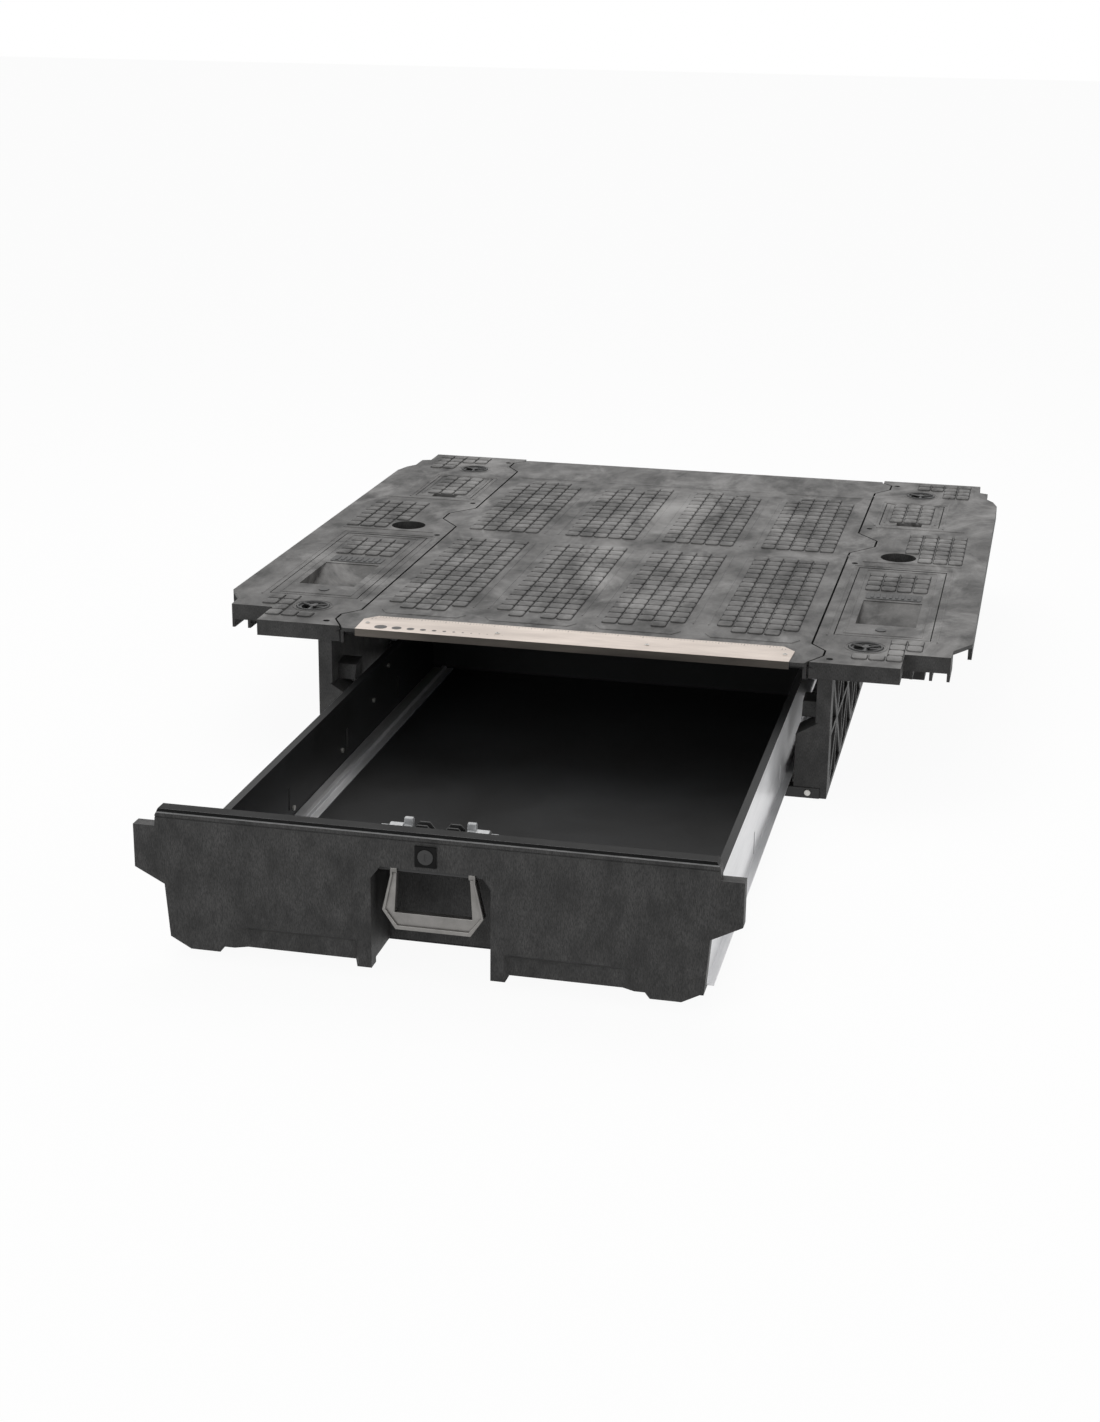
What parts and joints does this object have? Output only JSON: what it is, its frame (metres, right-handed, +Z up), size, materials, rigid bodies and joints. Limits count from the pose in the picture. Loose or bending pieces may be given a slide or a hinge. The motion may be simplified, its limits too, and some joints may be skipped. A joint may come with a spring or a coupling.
{
  "type": "truck bed drawer system",
  "caption": "Load deck for a pick-up bed over one long pull-out drawer, with tread pads, side lids over bins, turning anchor caps and a measuring strip along the front edge.",
  "frame": {"origin": "middle of the front cross bar's underside, on the bed floor", "axes": "+X to the right seen from the tailgate, +Y from the tailgate to the cab, along the drawer's travel, +Z up"},
  "size_m": [1.552, 2.6586, 0.283],
  "materials": {
    "deck": "weathered grey moulding",
    "moulding_black": "fine grain",
    "tub_black": "satin",
    "strip_metal": "brushed",
    "galvanised": "galvanised",
    "bar_steel": "black coat",
    "fastener": "zinc",
    "handle_metal": "satin cast",
    "claw_metal": "cast",
    "rubber_black": "plain",
    "roller_plastic": "plain"
  },
  "bodies": {
    "case": {"deck_center": "deck", "deck_side_right": "deck", "deck_side_left": "deck", "ruler_plate": "strip_metal", "ruler_screws": "fastener", "deck_beams": "bar_steel", "latch_keeper": "bar_steel", "case_wall_right": "moulding_black", "case_wall_left": "moulding_black", "crossbar_front": "bar_steel", "crossbar_mid": "bar_steel", "crossbar_rear": "bar_steel", "crossbar_bolts": "fastener", "case_track_right": "galvanised", "case_track_left": "galvanised", "front_roller_pins": "fastener", "side_bin_right": "moulding_black", "side_bin_left": "moulding_black", "hatch_bin_right": "moulding_black", "hatch_bin_left": "moulding_black"},
    "drawer": {"drawer_front": "moulding_black", "drawer_tub": "tub_black", "tub_walls": "tub_black", "drawer_rail_right": "galvanised", "drawer_rail_left": "galvanised", "floor_strip_right": "galvanised", "floor_strip_left": "galvanised", "tub_bolts": "fastener", "rear_bumpers": "rubber_black", "handle_pin": "fastener", "latch_brackets": "moulding_black", "lock_bezel": "moulding_black", "rear_wheel_pins": "fastener"},
    "handle": {"pull_handle": "handle_metal"},
    "latch": {"latch_claws": "claw_metal"},
    "lock": {"drawer_lock": "fastener"},
    "front_roller_right": {"front_roller_right": "roller_plastic"},
    "rear_wheel_right": {"rear_wheel_right": "roller_plastic"},
    "side_lid_right": {"side_lid_right": "deck"},
    "lid_lock_right": {"lid_lock_right": "fastener"},
    "rear_hatch_right": {"rear_hatch_right": "deck"},
    "anchor_cap_front_right": {"anchor_cap_front_right": "moulding_black"},
    "anchor_cap_rear_right": {"anchor_cap_rear_right": "moulding_black"},
    "front_roller_left": {"front_roller_left": "roller_plastic"},
    "rear_wheel_left": {"rear_wheel_left": "roller_plastic"},
    "side_lid_left": {"side_lid_left": "deck"},
    "lid_lock_left": {"lid_lock_left": "fastener"},
    "rear_hatch_left": {"rear_hatch_left": "deck"},
    "anchor_cap_front_left": {"anchor_cap_front_left": "moulding_black"},
    "anchor_cap_rear_left": {"anchor_cap_rear_left": "moulding_black"}
  },
  "joints": [
    {"name": "drawer_slide", "type": "slide", "parent": "case", "child": "drawer", "axis": [0, 1, 0], "range_m": [0, 0.9846]},
    {"name": "handle_pull", "type": "hinge", "parent": "drawer", "child": "handle", "pos_m": [0, -1.003, 0.19], "axis": [-1, 0, 0], "range_deg": [0, 50]},
    {"name": "latch_release", "type": "hinge", "parent": "drawer", "child": "latch", "pos_m": [0, -0.971, 0.236], "axis": [-1, 0, 0], "range_deg": [0, 20]},
    {"name": "drawer_lock_turn", "type": "hinge", "parent": "drawer", "child": "lock", "pos_m": [-0.007, -1.026, 0.223], "axis": [0, -1, 0], "range_deg": [0, 90]},
    {"name": "front_roller_spin_right", "type": "hinge", "parent": "case", "child": "front_roller_right", "pos_m": [0.446, 0.029, 0.0282], "axis": [1, 0, 0], "continuous": true},
    {"name": "rear_wheel_spin_right", "type": "hinge", "parent": "drawer", "child": "rear_wheel_right", "pos_m": [0.446, 0.5064, 0.1], "axis": [1, 0, 0], "continuous": true},
    {"name": "side_lid_hinge_right", "type": "hinge", "parent": "case", "child": "side_lid_right", "pos_m": [0.597, 0.7232, 0.2762], "axis": [-1, 0, 0], "range_deg": [0, 95]},
    {"name": "lid_lock_turn_right", "type": "hinge", "parent": "side_lid_right", "child": "lid_lock_right", "pos_m": [0.59, 0.237, 0.272], "axis": [0, 0, 1], "range_deg": [0, 90]},
    {"name": "rear_hatch_hinge_right", "type": "hinge", "parent": "case", "child": "rear_hatch_right", "pos_m": [0.5785, 1.3712, 0.2762], "axis": [-1, 0, 0], "range_deg": [0, 95]},
    {"name": "anchor_cap_front_right_turn", "type": "hinge", "parent": "case", "child": "anchor_cap_front_right", "pos_m": [0.572, 0.11, 0.271], "axis": [0, 0, 1], "range_deg": [0, 90]},
    {"name": "anchor_cap_rear_right_turn", "type": "hinge", "parent": "case", "child": "anchor_cap_rear_right", "pos_m": [0.584, 1.479, 0.271], "axis": [0, 0, 1], "range_deg": [0, 90]},
    {"name": "front_roller_spin_left", "type": "hinge", "parent": "case", "child": "front_roller_left", "pos_m": [-0.446, 0.029, 0.0282], "axis": [1, 0, 0], "continuous": true},
    {"name": "rear_wheel_spin_left", "type": "hinge", "parent": "drawer", "child": "rear_wheel_left", "pos_m": [-0.446, 0.5064, 0.1], "axis": [1, 0, 0], "continuous": true},
    {"name": "side_lid_hinge_left", "type": "hinge", "parent": "case", "child": "side_lid_left", "pos_m": [-0.597, 0.7232, 0.2762], "axis": [-1, 0, 0], "range_deg": [0, 95]},
    {"name": "lid_lock_turn_left", "type": "hinge", "parent": "side_lid_left", "child": "lid_lock_left", "pos_m": [-0.59, 0.237, 0.272], "axis": [0, 0, 1], "range_deg": [0, 90]},
    {"name": "rear_hatch_hinge_left", "type": "hinge", "parent": "case", "child": "rear_hatch_left", "pos_m": [-0.5785, 1.3712, 0.2762], "axis": [-1, 0, 0], "range_deg": [0, 95]},
    {"name": "anchor_cap_front_left_turn", "type": "hinge", "parent": "case", "child": "anchor_cap_front_left", "pos_m": [-0.572, 0.11, 0.271], "axis": [0, 0, 1], "range_deg": [0, 90]},
    {"name": "anchor_cap_rear_left_turn", "type": "hinge", "parent": "case", "child": "anchor_cap_rear_left", "pos_m": [-0.584, 1.479, 0.271], "axis": [0, 0, 1], "range_deg": [0, 90]}
  ],
  "couplings": [
    {"joint": "latch_release", "follows": "handle_pull", "ratio": 0.4}
  ]
}
